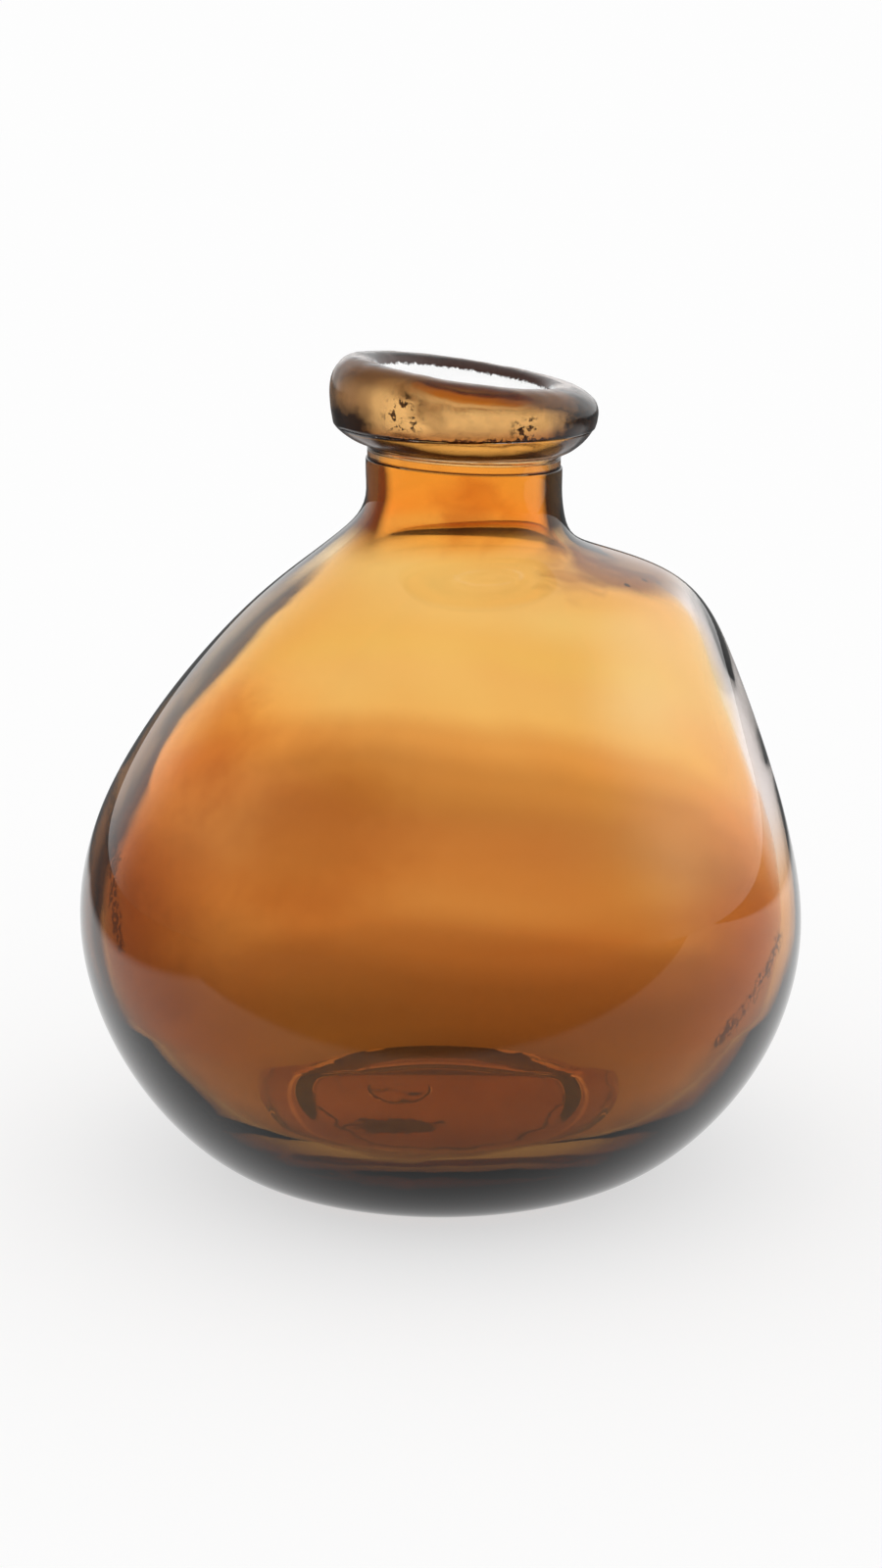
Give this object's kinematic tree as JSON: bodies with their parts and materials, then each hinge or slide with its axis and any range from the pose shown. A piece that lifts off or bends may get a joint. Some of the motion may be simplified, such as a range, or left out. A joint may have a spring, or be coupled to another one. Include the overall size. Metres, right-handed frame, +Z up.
{
  "type": "vase",
  "caption": "Amber blown-glass vase with a lopsided rounded belly, a short neck set to one side and a thick rolled lip with a slanted top, for flower stems in water.",
  "frame": {"origin": "bottom centre of the part's box, on the table plane under the middle of the belly", "axes": "+Z up, +X towards the side the neck is set to, -Y towards the viewer of the picture"},
  "size_m": [0.1941, 0.1893, 0.2197],
  "materials": {
    "amber_glass": "glossy blown glass, seedy, deeper amber towards the base",
    "base_glass": "thick glossy glass, dark amber",
    "lip_glass": "fire-polished glass with grainy tool marks"
  },
  "bodies": {
    "root": {"body_shell": "amber_glass", "base_pad": "base_glass", "pontil_button": "base_glass", "neck_band": "lip_glass", "lip_flange": "lip_glass", "lip_ring": "lip_glass"}
  },
  "joints": []
}
